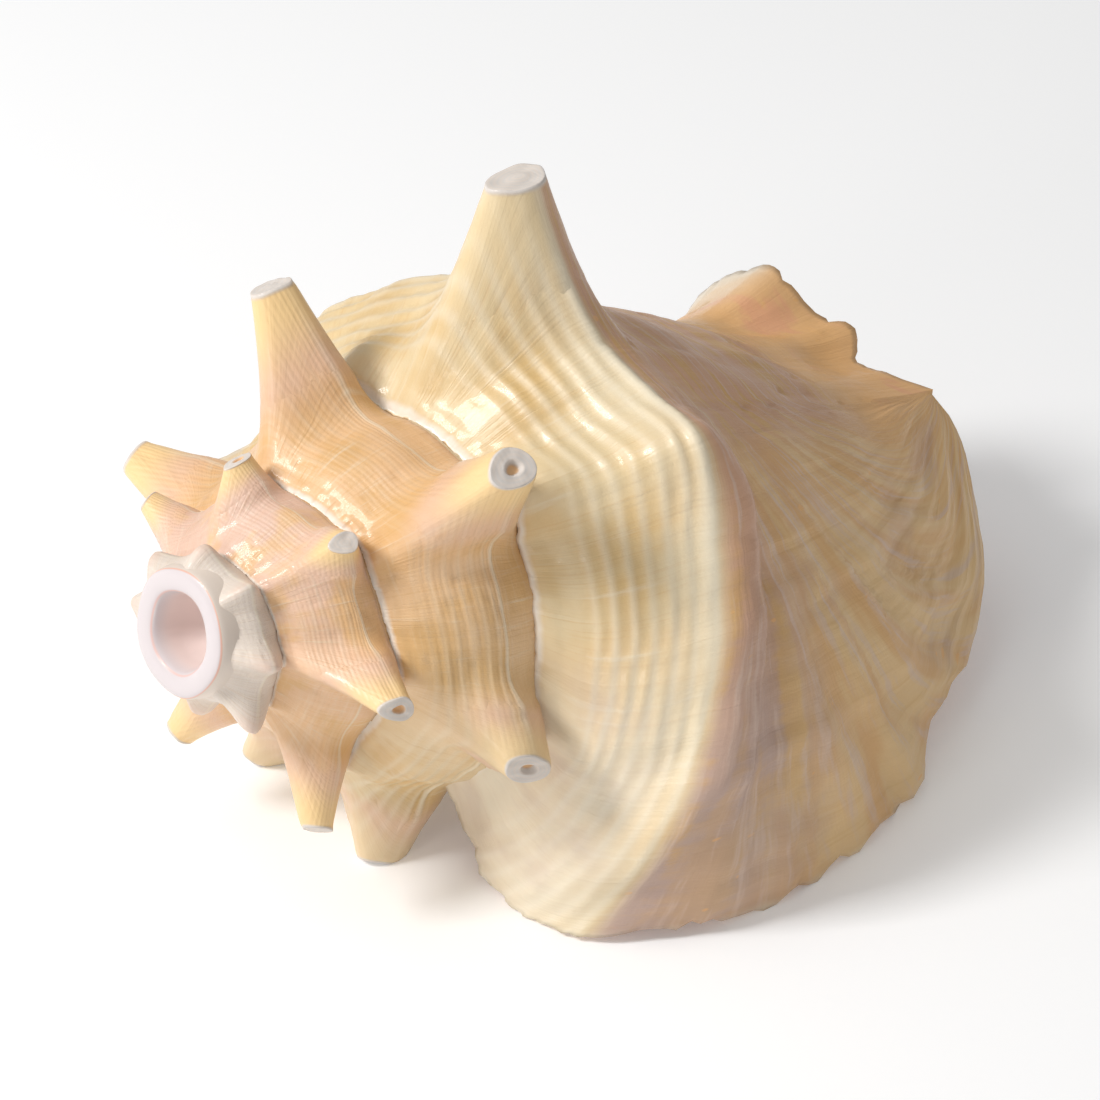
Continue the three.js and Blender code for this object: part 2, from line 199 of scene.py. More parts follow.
def ripple(x, y, seed, count=7):
    """Smooth unevenness between about -1 and 1: a few sine waves of seeded direction and phase."""
    rng = np.random.default_rng(seed)
    total = np.zeros(np.broadcast(x, y).shape)
    for _ in range(count):
        turn, phase, pitch = rng.uniform(0, math.tau), rng.uniform(0, math.tau), rng.uniform(0.6, 1.7)
        total += np.sin(math.tau * pitch * (x * math.cos(turn) + y * math.sin(turn)) + phase)
    return total / math.sqrt(count) / 1.4


# ---------------------------------------------------------------------------------------------------
# The shape of the shell, worked out on whole arrays
# ---------------------------------------------------------------------------------------------------
def scale_at(angle):
    """Growth to the power of the turns since the unit angle."""
    return WHORL_GROWTH ** ((angle - UNIT_ANGLE) / 360)


def body_scale(run):
    """The scale at a running measure; it stops growing where the lip starts."""
    return scale_at(np.minimum(run, LIP_START))


def lip_share(run):
    """How far across the lip a running measure is: 0 up to its start, 1 at its rim."""
    return np.clip((run - LIP_START) / LIP_SPAN, 0, 1)


def stand(axial, up, side):
    """Point along the coiling axis, upward and towards the lip, turned into the standing shell."""
    c, s = math.cos(AXIS_TILT), math.sin(AXIS_TILT)
    x = COIL_CENTRE[0] + axial * c + up * s
    y = COIL_CENTRE[1] - side
    z = AXIS_HEIGHT - axial * s + up * c
    return np.stack(np.broadcast_arrays(x, y, z), axis=-1)


def around(axial, radius, angle):
    """Point on a circle round the axis: radius times the cosine upward and the sine towards the lip."""
    turn = np.radians(angle)
    return stand(axial, radius * np.cos(turn), radius * np.sin(turn))


def arc(turned):
    """Distance along the growth from a spine's middle, in units: steeper at the middle, because the tip
    stands further out than the foot. A straight line plus a tanh."""
    return SPINE_ROUND * turned + SPINE_NARROW * np.tanh(turned / SPINE_MIDDLE)


def unarc(distance):
    """The turn that gives a distance; arc() read backwards from a fine table of it."""
    turned = np.linspace(-1.2, 1.2, 4001)
    return np.interp(distance, arc(turned), turned)


def unevenness(heading, number):
    """Factor that makes a spine's section a little oval and three-sided, differently for each spine."""
    turn = number * 2.4
    return 1 + 0.07 * np.sin(2 * heading + turn) + 0.05 * np.sin(3 * heading + 2 * turn)


def is_knob(at, reach):
    """Low rounded knobs have no cut top: those of the oldest whorl, and the two lowest of the last."""
    return at < OLD_WHORL or reach < KNOB_REACH


def spine_top(at, reach):
    """Radius of the cut top, none on a knob."""
    if is_knob(at, reach):
        return 0.0
    return SPINE_TOP * (TALL_TOP if at > TALL_FROM else 1)


def spine_rise(away, top, knob):
    """Share of a spine's height, 1 on its top and 0 at its foot: a power of 1 - t, where t runs from the
    cut top's edge to the foot. A knob is round on top."""
    t = np.clip((away - top) / (SPINE_FOOT - top), 0, 1)
    return (1 - t ** 1.7) ** 3 if knob else (1 - t) ** 2.45


def straw_share(at, knob):
    """How much of the straw colour of the spine tips a spine takes."""
    if at < OLD_WHORL:
        return 0.35
    return 0.1 if knob else 1.0


def spine_parts(angle, place, cap=1.0):
    """Share of the nearest spines at each point: outward and backward lift, largest share, distance from
    the spine's middle in units, and that spine's bore. cap cuts the spines lower. The outward lift leaves
    the crest for the tip cone and levels the top; the backward lift leans the spine."""
    plain_a, plain_r = along(PROFILE, 1, place), along(PROFILE, 2, place)
    crest_a, crest_r = along(PROFILE, 1, SHOULDER), along(PROFILE, 2, SHOULDER)
    outward, backward = np.zeros(angle.shape), np.zeros(angle.shape)
    share_max, away_min, bore = np.zeros(angle.shape), np.full(angle.shape, 99.0), np.zeros(angle.shape)
    for number, (at, reach, hollow) in enumerate(SPINES):
        knob = is_knob(at, reach)
        near = np.abs(angle - at) < SPINE_TURN
        onwards = arc(np.radians(angle - at))
        across = (place - SHOULDER) * np.where(place < SHOULDER, RAMP_LENGTH, WALL_LENGTH)
        away = np.hypot(onwards, across) * unevenness(np.arctan2(across, onwards), number)
        rise = spine_rise(away, spine_top(at, reach), knob)
        share = np.minimum(np.where(near, rise, 0), 1.0 if knob else cap)
        tip_r = TIP_RADIUS * reach
        slant = 0.30 * (plain_a - crest_a) * np.clip(share / 0.6, 0, 1)
        outward += share * (tip_r - crest_r) + share ** 4 * (slant + crest_r - plain_r)
        backward += share * (TIP_AXIAL - crest_a) * (tip_r - crest_r) / (TIP_RADIUS - crest_r)
        closer = near & (away < away_min) & (not knob)
        away_min = np.where(closer, away, away_min)
        bore = np.where(closer, hollow, bore)
        share_max = np.maximum(share_max, share * straw_share(at, knob))
    return outward, backward, share_max, away_min, bore


def slimness(angle):
    """The oldest whorl is up to 14 percent slimmer than the spiral would have it."""
    return 1 - 0.14 * smooth(-angle, 780, 920)


def plain_whorl(angle, place, outward, backward):
    """The profile carried round the axis and scaled by growth, with the spines' lifts. Its seam follows the
    slimness of the whorl before."""
    size = scale_at(angle)
    near = smooth(place, 0, SHOULDER)
    slim = slimness(angle - 360) * (1 - near) + slimness(angle) * near
    return around((along(PROFILE, 1, place) + backward) * size,
                  (along(PROFILE, 2, place) * slim + outward) * size, angle)


def canal_shift(angle, place):
    """The wall leaves the plain spiral near its front end and follows the canal edge: the way from one to
    the other, times a power of the place past the start of the canal."""
    edge = stand(along(CANAL_EDGE, 1, angle), along(CANAL_EDGE, 2, angle), along(CANAL_EDGE, 3, angle))
    size = scale_at(angle)
    plain = around(PROFILE[-1, 1] * size, PROFILE[-1, 2] * size, angle)
    share = np.clip((place - CANAL_PLACE) / (1 - CANAL_PLACE), 0, 1) ** 2.6
    return (edge - plain) * (share * np.clip((angle + 300) / 60, 0, 1))[..., None]


def whorl(angle, place, spined=True, cap=1.0):
    """A whorl starts on the seam of the one before it, spine feet and all, and leaves it in a few rows."""
    zero = np.zeros(angle.shape)
    if not spined:
        return plain_whorl(angle, place, zero, zero)
    point = plain_whorl(angle, place, *spine_parts(angle, place, cap)[:2])
    seam = np.full(angle.shape, SEAM)
    before = angle - 360
    feet = plain_whorl(before, seam, *spine_parts(before, seam)[:2]) - plain_whorl(before, seam, zero, zero)
    hold = (1 - smooth(place, 0, 0.16)) * (before >= FIRST_ANGLE)
    return point + feet * hold[..., None]


def growth_angle(run, place):
    """Angle of the growth at a running measure: the same up to the lip, then on to the rim's own angle."""
    on_lip = LIP_START + lip_share(run) * (along(LIP_RIM, 1, place) - LIP_START)
    return np.where(run > LIP_START, on_lip, run)


def surface(run, place, spined=True, cap=1.0):
    """Outer skin. run is the growth angle up to the lip's start, then the share of the lip times its span.
    Over the lip the whorl gives way to the rim by a cubic of that share."""
    out = lip_share(run)
    rim_angle = along(LIP_RIM, 1, place)
    point = whorl(growth_angle(run, place), place, spined, cap)
    size = scale_at(rim_angle)
    plain = around(along(PROFILE, 1, place) * size, along(PROFILE, 2, place) * size, rim_angle)
    rim = around(along(LIP_RIM, 2, place), along(LIP_RIM, 3, place), rim_angle)
    flare = (out * out * (1.6 - 0.6 * out))[..., None]
    return point + canal_shift(np.minimum(run, LIP_START), place) * (1 - flare) + (rim - plain) * flare


def outward_at(run, place, spined=True, cap=1.0):
    """Unit normals of the skin, from points a little way before and after in both directions."""
    turn, step = 0.35, 0.003
    on = surface(run + turn, place, spined, cap) - surface(run - turn, place, spined, cap)
    low, high = np.clip(place - step, 0, 1), np.clip(place + step, 0, 1)
    down = surface(run, high, spined, cap) - surface(run, low, spined, cap)
    normal = np.cross(on, down)
    return normal / np.maximum(np.linalg.norm(normal, axis=-1, keepdims=True), 1e-9)


def wall_thickness(run, place):
    """The plain wall, thinner towards the canal; over the lip it thickens, then thins again to the rim."""
    out = lip_share(run)
    body = WALL * (1 - 0.4 * np.clip((place - 0.7) / 0.3, 0, 1))
    lip = LIP_WALL + (RIM_WALL - LIP_WALL) * np.clip((out - 0.7) / 0.3, 0, 1)
    return body + (lip - body) * np.clip(out * 3, 0, 1) * np.clip((1 - place) / 0.2, 0, 1)


def ground_off(points):
    """Everything before the apex face is moved back onto it, and kept clear of the bowl."""
    c, s = math.cos(AXIS_TILT), math.sin(AXIS_TILT)
    offset = points - stand(np.zeros(1), 0, 0)
    axial = offset[..., 0] * c - offset[..., 2] * s
    up = offset[..., 0] * s + offset[..., 2] * c
    side = -offset[..., 1]
    radius = np.hypot(up, side)
    cut = (axial < APEX_FACE) & (radius < APEX_REACH)
    wider = np.where(cut, np.maximum(radius, APEX_HOLE) / np.maximum(radius, 1e-6), 1)
    return np.where(cut[..., None], stand(APEX_FACE, up * wider, side * wider), points)


# ---------------------------------------------------------------------------------------------------
# Relief on the skin, in millimetres
# ---------------------------------------------------------------------------------------------------
def fan_place(out, place):
    """Measure across the lip whose lines fan out: the place past the fan's foot over a span that grows
    from the lip's start to its rim."""
    return (place - FAN_FOOT) / (FAN_START + FAN_GROWTH * out)


def cord_height(run, place, share, out):
    """Spiral cords: rounded ridges evenly spaced in place, with a slow wander along the growth, highest on
    the ramp of the last whorl and gone on the spines."""
    wander = 0.22 * ripple(run / 38.0, place * 3.0, 21) + 0.10 * ripple(run / 9.0, place * 5.0, 22)
    strength = 0.72 + 0.5 * ripple(run / 21.0, place * 26.0, 23)
    late = smooth(run, -345, -150)
    on_ramp = smooth(place, 0.05, 0.10) * (1 - 0.65 * smooth(place, 0.22, 0.27))
    cords = ridge(place / CORD_PITCH + wander, 1.4) * strength * (CORD_OLD + CORD_LAST * late)
    return cords * on_ramp * (1 - smooth(share, 0.45, 0.9)) * (1 - 0.4 * out)


def growth_height(run, place, out, size):
    """Growth lines, broad swells and small pits: seeded sines of run and place."""
    lines = GROWTH_LINE * (ripple(run / 3.4, place * 2.2, 11) + ripple(run / 9.5, place * 1.6, 12))
    swell = SWELL * ripple(run / 30.0, place * 5.2, 5) * smooth(place, 0.02, 0.1)
    pits = PIT * smooth(ripple(run / 6.1, place * 15.0, 41), 0.75, 1.3) * (1 - smooth(out, 0, 0.3))
    return (lines * smooth(run, -900, -300) + swell - pits) * size


def fold_height(run, place, out):
    """The lip: broad folds and ribs that follow the fan's lines, steps of growth across them, and slow
    waves where the ramp runs out into the lip's lower edge."""
    fan = fan_place(out, place)
    folds = FOLD * ridge(fan * 5.2 + 0.30 * ripple(fan * 2.0, out * 1.1, 34), 1.4)
    ribs = RIB * ridge(fan * 14.0 + 0.45 * ripple(fan * 4.0, out * 1.3, 35), 1.6)
    ribs = ribs * (0.6 + 0.5 * ripple(fan * 5.0, out * 1.5, 36))
    fanned = (folds + ribs) * smooth(out, 0.02, 0.75) * smooth(fan, 0.06, 0.2)
    fanned = fanned * (1 - smooth(place, 0.70, 0.88))
    steps = GROWTH_STEP * ripple(run / 13.0, place * 1.5, 33) * smooth(out, 0.1, 0.5)
    steps = steps * smooth(place, 0.02, 0.1)
    waves = WAVE * ripple(out * 2.6 + place * 3.0, place * 2.0, 37) * smooth(out, 0.35, 0.7)
    waves = waves * smooth(place, 0.03, 0.12) * (1 - smooth(place, 0.22, 0.34)) * (1 - smooth(out, 0.9, 1.0))
    return fanned + steps + waves


def shoulder_height(run, place, share, out, size):
    """The shoulder: bells across it. It stands out on the lip, dips between the spines of the older whorls,
    and carries a narrow keel on the last one."""
    bulge = BULGE * bell(place, 0.282, 0.044) * smooth(out, 0.02, 0.24) * (1 - smooth(out, 0.55, 0.95))
    older = smooth(run, -1000, -860) * (1 - smooth(run, -200, -80))
    saddle = SADDLE * size * bell(place, SHOULDER, 0.085) * (1 - smooth(share, 0.0, 0.30)) * older
    keel = KEEL * size * bell(place, SHOULDER, 0.013) * (1 - smooth(share, 0.3, 0.7))
    keel = keel * (0.15 + 0.85 * smooth(run, -200, -90)) * (1 - 0.95 * smooth(out, 0.05, 0.5))
    return bulge - saddle + keel


def relief(run, place, share):
    """Height over the smooth skin: cords, growth, folds and shoulder, fading at the canal's edge."""
    size, out = body_scale(run), lip_share(run)
    height = cord_height(run, place, share, out) + growth_height(run, place, out, size)
    height = height + fold_height(run, place, out) + shoulder_height(run, place, share, out, size)
    return height * (1 - 0.9 * smooth(place, 0.86, 0.97) * smooth(run, 0, LIP_START))


# ---------------------------------------------------------------------------------------------------
# Meshes
# ---------------------------------------------------------------------------------------------------
class Skin:
    """Collects grids of vertices and faces, with a value for every attribute at every vertex."""
    NAMES = ("run", "place", "spine", "away", "bore", "inner", "out", "apex")

    def __init__(self):
        self.points, self.faces, self.values, self.count = [], [], [], 0

    def add(self, points, **values):
        """Take in an array of points with its values, and return the vertex numbers in the same shape."""
        flat = points.reshape(-1, 3)
        self.points.append(flat)
        columns = [np.broadcast_to(np.asarray(values.get(name, 0.0), float), points.shape[:-1]).reshape(-1)
                   for name in self.NAMES]
        self.values.append(np.stack(columns, axis=1))
        first = self.count
        self.count += len(flat)
        return np.arange(first, self.count).reshape(points.shape[:-1])

    def quads(self, ids):
        """Faces over a grid of vertex numbers."""
        a, b, c, d = ids[:-1, :-1], ids[:-1, 1:], ids[1:, 1:], ids[1:, :-1]
        self.faces.append(np.stack([a, d, c, b], axis=-1).reshape(-1, 4))

    def fan(self, middle, loop):
        """Triangles from one vertex to each pair along a loop, kept as quads with a repeated corner."""
        middles = np.full(len(loop) - 1, middle)
        self.faces.append(np.stack([middles, loop[1:], loop[:-1], middles], axis=-1))

    def build(self, name):
        """Make the mesh, in metres and on or above the floor. Vertices no face uses are dropped, and faces
        with repeated corners become triangles."""
        points = np.concatenate(self.points) * 0.001
        quads = np.concatenate(self.faces)
        values = np.concatenate(self.values)
        points[:, 2] = np.maximum(points[:, 2], 0)
        used, quads = np.unique(quads, return_inverse=True)
        points, values, quads = points[used], values[used], quads.reshape(-1, 4)
        keep = np.stack([quads[:, k] != quads[:, k - 1] for k in range(4)], axis=1)
        quads, keep = quads[keep.sum(axis=1) >= 3], keep[keep.sum(axis=1) >= 3]
        sizes = keep.sum(axis=1).astype(np.int32)
        loops = quads[keep].astype(np.int32)
        mesh = bpy.data.meshes.new(name)
        mesh.vertices.add(len(points))
        mesh.vertices.foreach_set("co", points.ravel())
        mesh.loops.add(len(loops))
        mesh.loops.foreach_set("vertex_index", loops)
        mesh.polygons.add(len(sizes))
        starts = np.concatenate([[0], np.cumsum(sizes)[:-1]]).astype(np.int32)
        mesh.polygons.foreach_set("loop_start", starts)
        mesh.update(calc_edges=True)
        mesh.polygons.foreach_set("use_smooth", np.ones(len(mesh.polygons), bool))
        for col, attribute in enumerate(self.NAMES):
            layer = mesh.attributes.new(attribute, "FLOAT", "POINT")
            layer.data.foreach_set("value", values[:, col].astype(np.float32))
        made = bpy.data.objects.new(name, mesh)
        bpy.context.collection.objects.link(made)
        return made


def skin_points(run, place, patch=False):
    """Outer skin with its relief, and the attributes that the finish reads. The coarse skin is cut low and
    dips under a spine's finer patch; the patch dips under the coarse skin round its edge."""
    cap = 1.0 if patch else SKIN_CAP
    _, _, share, away, bore = spine_parts(growth_angle(run, place), place)
    normal = outward_at(run, place, cap=cap)
    height = relief(run, place, share)
    if patch:
        sunk = np.clip((away - PATCH_EDGE + PATCH_OVERLAP) / 1.3, 0, 1)
        height = height * (1 - smooth(share, 0.93, 1))
    else:
        sunk = np.clip((PATCH_EDGE + PATCH_OVERLAP - away) / 1.4, 0, 1)
    height = height - PATCH_DIP * sunk
    points = surface(run, place, cap=cap) + normal * height[..., None]
    return points, normal, dict(run=run, place=place, spine=share, away=away * body_scale(run), bore=bore,
                                out=lip_share(run))


def frayed(run, place):
    """Draw the rim of the lip and the canal's edge back by a wavy amount, and more in each chip, a flat bell
    of the distance from its middle. The rim ends in one point, where the canal's edge meets the lip."""
    chips = sum(depth * np.exp(-(np.abs(place - at) / width) ** 4) for at, width, depth in RIM_CHIPS)
    scallops = 0.012 * (1 + ripple(place * 13.0, 0 * place, 51))
    nicks = 0.0042 * (1 + ripple(place * 46.0, 0 * place, 52))
    at_rim = smooth(lip_share(run), 0.72, 1) * smooth(place, 0.0, 0.05)
    drawn = run - LIP_SPAN * (chips + scallops + nicks) * at_rim
    kept = 1 - smooth(place, 0.972, 1)
    drawn = np.where(run > LIP_START, LIP_START + (drawn - LIP_START) * kept, drawn)
    chips = sum(depth * np.exp(-(np.abs(run - at) / width) ** 4) for at, width, depth in CANAL_CHIPS)
    wavy = 0.003 * (1 + ripple(run / 14.0, 0 * run, 53)) + 0.001 * (1 + ripple(run / 3.5, 0 * run, 54))
    at_canal = smooth(place, 0.92, 1) * smooth(run, -50, -34) * (1 - smooth(run, 20, LIP_START))
    return drawn, place - (chips + wavy) * at_canal


def lapped(points, normal, run):
    """The young edge laps over the seam: its first rows stand proud and lean back over the older whorl, and
    the shared row lies in a groove. Both vary along the growth."""
    size = body_scale(run)
    rows = len(EDGE_PROUD)
    edge = np.zeros(run.shape)
    edge[:, :rows] = EDGE_PROUD * (1 + 0.5 * ripple(run[:, :rows] / 8.0, 0 * run[:, :rows], 61))
    points = points + normal * (edge * size)[..., None]
    last = len(EDGE_LAP) + 1
    lap = np.zeros(run.shape)
    lap[:, 1:last] = EDGE_LAP * (1 + 0.6 * ripple(run[:, 1:last] / 6.0, 0 * run[:, 1:last], 62))
    toward = points[:, :1] - points[:, last:last + 1]
    toward /= np.linalg.norm(toward, axis=-1, keepdims=True)
    return points + toward * (lap * size)[..., None]


def build_inner_skin(skin, runs, rows):
    """The chamber's wall: the unspined surface, moved inward along its normals by the wall's thickness."""
    run, place = frayed(*np.meshgrid(runs, rows, indexing="ij"))
    inward = -outward_at(run, place, spined=False)
    points = surface(run, place, spined=False) + inward * wall_thickness(run, place)[..., None]
    ids = skin.add(points, run=run, place=place, away=99, inner=1, out=lip_share(run))
    skin.quads(ids[:, ::-1])
    return ids


def build_skin(skin):
    """One skin wound from the apex to the rim of the lip. Each whorl shares its seam row with the next.
    From the body chamber on, an inner skin follows at the wall's thickness, and both meet at the rim.
    Returns the vertex numbers, the columns in a turn and the row of the seam."""
    turn = round(360 / ANGLE_STEP)
    chamber = round((COIL_END - FIRST_ANGLE) / ANGLE_STEP)
    to_lip = round((LIP_START - FIRST_ANGLE) / ANGLE_STEP)
    step = (LIP_START - FIRST_ANGLE) / to_lip
    runs = np.concatenate([FIRST_ANGLE + np.arange(to_lip + 1) * step,
                           LIP_START + LIP_SPAN * np.linspace(0, 1, LIP_COLUMNS + 1)[1:]])
    edge, ramp, wall = [0, 0.004, 0.009, 0.016], np.linspace(0.024, 0.25, 46), np.linspace(0.258, SEAM, 10)
    places = np.concatenate([edge, ramp, wall, np.linspace(SEAM, 1, 53)[1:]])
    seam_row = len(edge) + len(ramp) + len(wall) - 1

    run, place = frayed(*np.meshgrid(runs, places, indexing="ij"))
    points, normal, values = skin_points(run, place)
    points = ground_off(lapped(points, normal, run))
    shared = np.arange(turn, to_lip + 1)
    points[shared, 0] = points[shared - turn, seam_row]
    for name in ("away", "spine", "bore"):
        values[name][shared, 0] = values[name][shared - turn, seam_row]
    ids = skin.add(points, **values)
    ids[shared - turn, seam_row] = ids[shared, 0]
    last_turn = chamber - turn
    skin.quads(ids[:last_turn + 1, :seam_row + 1])
    skin.quads(ids[last_turn:chamber + 1])
    skin.quads(ids[chamber:])

    inner_places = np.linspace(0, 1, INNER_ROWS)
    inside = build_inner_skin(skin, runs[chamber:], inner_places)
    nearest = np.clip(np.searchsorted(inner_places, places, side="left"), 0, INNER_ROWS - 1)
    skin.quads(np.stack([ids[chamber:, -1], inside[:, -1]], axis=1))
    skin.quads(np.stack([inside[:, 0], ids[chamber:, 0]], axis=1))
    skin.quads(np.stack([ids[-1], inside[-1, nearest]], axis=0))
    # the far end of the chamber: from the inner skin to the whorl inside it, and the front end of that whorl
    lower = ids[last_turn, seam_row:]
    share = (places[seam_row:] - SEAM) / (1 - SEAM)
    nearest = np.clip(np.searchsorted(inner_places, share), 0, INNER_ROWS - 1)
    skin.quads(np.stack([inside[0, nearest], lower], axis=0))
    front = int(skin.add(stand(np.array([WHORL_FRONT]), 0, 0), inner=1)[0])
    skin.fan(front, ids[last_turn:chamber + 1, -1])
    return ids, turn, seam_row


def build_spine_tips(skin):
    """A finer skin over each spine, laid out in rings round its middle, so that the cut top has a crisp edge.
    Distance from the middle and heading round it give the running measure and the place on the whorl."""
    in_top = np.array([0, 0.12, 0.26, 0.36, 0.42, 0.50, 0.62, 0.78, 0.90, 0.97, 1.0, 1.03])
    down = np.linspace(0, 1, 15) ** 1.15
    for number, (at, reach, hollow) in enumerate(SPINES):
        if is_knob(at, reach):
            continue
        top = spine_top(at, reach)
        start, end = top * 1.08, PATCH_EDGE + 1.1
        rings = np.concatenate([in_top * top, start + (end - start) * down])
        ring, heading = np.meshgrid(rings, np.linspace(0, math.tau, PATCH_SPOKES + 1), indexing="ij")
        far = ring / unevenness(heading, number)
        onwards, across = far * np.cos(heading), far * np.sin(heading)
        angle = at + np.degrees(unarc(onwards))
        place = SHOULDER + across / np.where(across < 0, RAMP_LENGTH, WALL_LENGTH)
        span = along(LIP_RIM, 1, place) - LIP_START
        run = np.where(angle > LIP_START, LIP_START + (angle - LIP_START) / span * LIP_SPAN, angle)
        points, normal, values = skin_points(run, place, patch=True)
        axis = normal[:8, :-1].mean(axis=(0, 1))
        axis /= np.linalg.norm(axis)
        hole = hollow * 0.9 * (1 - smooth(ring, 0.22 * top, 0.42 * top))
        rim = 0.05 * bell(ring / top, 0.93, 0.07) - 0.05 * bell(ring / top, 0.5, 0.16)
        rough = 0.07 * ripple(onwards * 0.45, across * 0.45, 70 + number)
        rough = rough * (1 - smooth(ring, top, 1.1 * top))
        lowered = (hole - rim * (1 - 0.5 * hollow) - rough) * scale_at(at)
        points = ground_off(points - axis * lowered[..., None])
        ids = skin.add(points[1:, :-1], **{name: value[1:, :-1] for name, value in values.items()})
        ids = np.concatenate([ids, ids[:, :1]], axis=1)
        skin.quads(ids[:, ::-1])
        middle = int(skin.add(points[:1, 0], **{name: value[:1, 0] for name, value in values.items()})[0])
        skin.fan(middle, ids[0])


def build_pillar(skin):
    """Rings along the bent pillar, closed at both ends on its middle line."""
    t, turn = np.meshgrid(np.linspace(0, 1, 40), np.linspace(0, math.tau, 37), indexing="ij")
    radius = along(PILLAR, 4, t)
    points = stand(along(PILLAR, 1, t), along(PILLAR, 2, t) + radius * np.cos(turn),
                   along(PILLAR, 3, t) - radius * np.sin(turn))
    ids = skin.add(points[:, :-1], inner=1, place=t[:, :-1], run=-150)
    ids = np.concatenate([ids, ids[:, :1]], axis=1)
    skin.quads(ids)
    ends = skin.add(stand(*PILLAR_ENDS.T), inner=1)
    skin.fan(int(ends[0]), ids[0][::-1])
    skin.fan(int(ends[1]), ids[-1])


def build_apex(skin, ids, turn, seam_row):
    """Ring and bowl left by the ground-off apex: an outline turned round the axis, slightly oval. The skin's
    own first turn is closed behind it, over a ring deep in the filling."""
    filling = dict(run=-1100, away=99)
    t, heading = np.meshgrid(np.linspace(0, 1, 52), np.linspace(0, 360, 91), indexing="ij")
    oval = 1 + 0.035 * np.cos(np.radians(2 * heading - 60)) + 0.012 * np.sin(np.radians(5 * heading))
    wavy = 0.12 * np.sin(np.radians(3 * heading)) * (t > 0.25) * (t < 0.56)
    points = around(along(APEX, 1, t) + wavy, along(APEX, 2, t) * oval, heading)
    rings = skin.add(points[:-1, :-1], apex=t[:-1, :-1], place=0.1, **filling)
    rings = np.concatenate([rings, rings[:, :1]], axis=1)
    skin.quads(rings)
    bottom = int(skin.add(points[-1:, 0], apex=1, place=0.1, **filling)[0])
    skin.fan(bottom, rings[-1])
    heading = FIRST_ANGLE + np.arange(turn + 1) * ANGLE_STEP
    ones = np.ones(turn + 1)
    face = skin.add(around(ones * APEX_FACE, ones * APEX_HOLE, heading), **filling)
    deep = skin.add(around(ones * FILLING_RING[0], ones * FILLING_RING[1], heading), **filling)
    skin.quads(np.stack([deep, face, ids[:turn + 1, 0]], axis=1))
    skin.fan(int(face[turn]), ids[0, :seam_row + 1][::-1])
    behind = int(skin.add(stand(np.array([FILLING_BACK]), 0, 0), **filling)[0])
    skin.fan(behind, deep)


def build_shell():
    """The whole shell as one piece: skin, spine tips, pillar and apex."""
    skin = Skin()
    ids, turn, seam_row = build_skin(skin)
    build_spine_tips(skin)
    build_pillar(skin)
    build_apex(skin, ids, turn, seam_row)
    return skin.build("shell_skin")


# ---------------------------------------------------------------------------------------------------
# Shader expressions
# ---------------------------------------------------------------------------------------------------
class Maker:
    """Makes the nodes of one material."""

    def __init__(self, name):
        self.material = bpy.data.materials.new(name)
        self.material.use_nodes = True
        self.tree = self.material.node_tree
        self.tree.nodes.clear()

    def node(self, kind, settings=None, **inputs):
        """One node: its settings first, then the values or links of its sockets (by name or in[number])."""
        made = self.tree.nodes.new(kind)
        for key, value in (settings or {}).items():
            setattr(made, key, value)
        for key, value in inputs.items():
            numbered = key.startswith("in") and key[2:].isdigit()
            self.feed(made.inputs[int(key[2:])] if numbered else made.inputs[key.replace("_", " ")], value)
        return made

    def feed(self, socket, value):
        """Link a value to a socket, or set a constant on it."""
        if isinstance(value, Value):
            self.tree.links.new(value.socket, socket)
        else:
            socket.default_value = value

    def attribute(self, name):
        """One of the skin's own attributes."""
        made = self.node("ShaderNodeAttribute", {"attribute_name": name, "attribute_type": "GEOMETRY"})
        return Value(self, made.outputs["Fac"])

    def noise(self, x, y, z=0.0, detail=3.0, roughness=0.5):
        """Noise of size 1 at a point put together from three values or constants."""
        at = self.node("ShaderNodeCombineXYZ", in0=x, in1=y, in2=z)
        made = self.node("ShaderNodeTexNoise", {"noise_dimensions": "3D"}, Vector=Value(self, at.outputs[0]),
                         Scale=1.0, Detail=detail, Roughness=roughness)
        return Value(self, made.outputs["Fac"])

    def mix(self, factor, one, other):
        """Colour mix; factor, one and other are values or constants."""
        made = self.node("ShaderNodeMix", {"data_type": "RGBA", "clamp_factor": True}, in0=factor, in6=one,
                         in7=other)
        return Value(self, made.outputs[2])

    def finish(self, shader):
        """Lead a shader to the output, and return the material."""
        self.node("ShaderNodeOutputMaterial", in0=Value(self, shader.outputs[0]))
        return self.material


